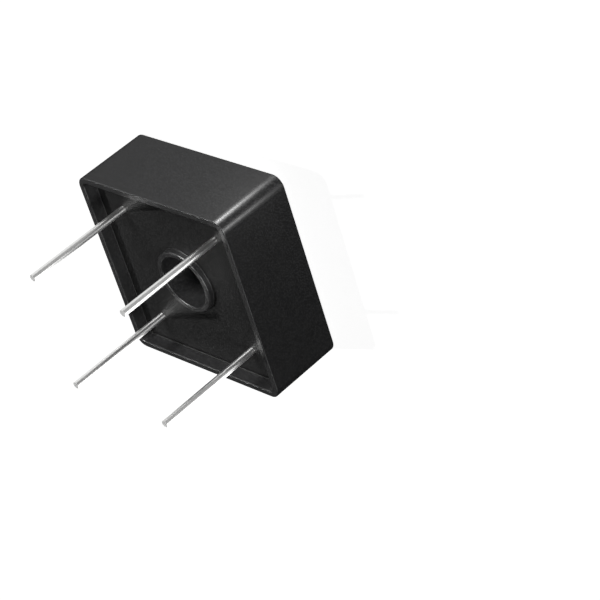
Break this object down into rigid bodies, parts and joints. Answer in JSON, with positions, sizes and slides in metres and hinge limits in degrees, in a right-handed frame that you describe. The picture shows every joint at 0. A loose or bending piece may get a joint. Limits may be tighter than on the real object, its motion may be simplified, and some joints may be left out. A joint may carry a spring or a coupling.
{
  "type": "bridge rectifier",
  "caption": "Square potted bridge rectifier with straight wire leads at its corners and a screw hole through a central sleeve.",
  "frame": {"origin": "centre of the flat mounting face, on the axis of the screw hole", "axes": "+Z out of the potted side, along the leads; +X and +Y square to the side walls, with the positive lead at +X +Y and the negative lead at -X -Y"},
  "size_m": [0.0286, 0.0286, 0.0258],
  "materials": {
    "case_plastic": "black moulded thermoset, fine satin grain",
    "epoxy": "black cast epoxy, satin",
    "tinned_wire": "tin-plated copper, drawn",
    "spreader_metal": "stamped",
    "insulating_ceramic": "fired alumina",
    "copper_strip": "stamped copper",
    "solder": "reflowed solder",
    "silicon": "sawn silicon chip",
    "mark_ink": "gold marking ink"
  },
  "bodies": {
    "root": {"case": "case_plastic", "potting_compound": "epoxy", "heat_spreader": "spreader_metal", "insulating_plate": "insulating_ceramic", "positive_frame": "copper_strip", "negative_frame": "copper_strip", "ac_jumper_1": "copper_strip", "ac_jumper_2": "copper_strip", "lead_positive": "tinned_wire", "lead_negative": "tinned_wire", "lead_ac_1": "tinned_wire", "lead_ac_2": "tinned_wire", "lead_solder_positive": "solder", "lead_solder_negative": "solder", "lead_solder_ac_1": "solder", "lead_solder_ac_2": "solder", "diode_chip_1": "silicon", "diode_chip_2": "silicon", "diode_chip_3": "silicon", "diode_chip_4": "silicon", "chip_solder_lower_1": "solder", "chip_solder_lower_2": "solder", "chip_solder_lower_3": "solder", "chip_solder_lower_4": "solder", "chip_solder_upper_1": "solder", "chip_solder_upper_2": "solder", "chip_solder_upper_3": "solder", "chip_solder_upper_4": "solder"}
  },
  "joints": []
}
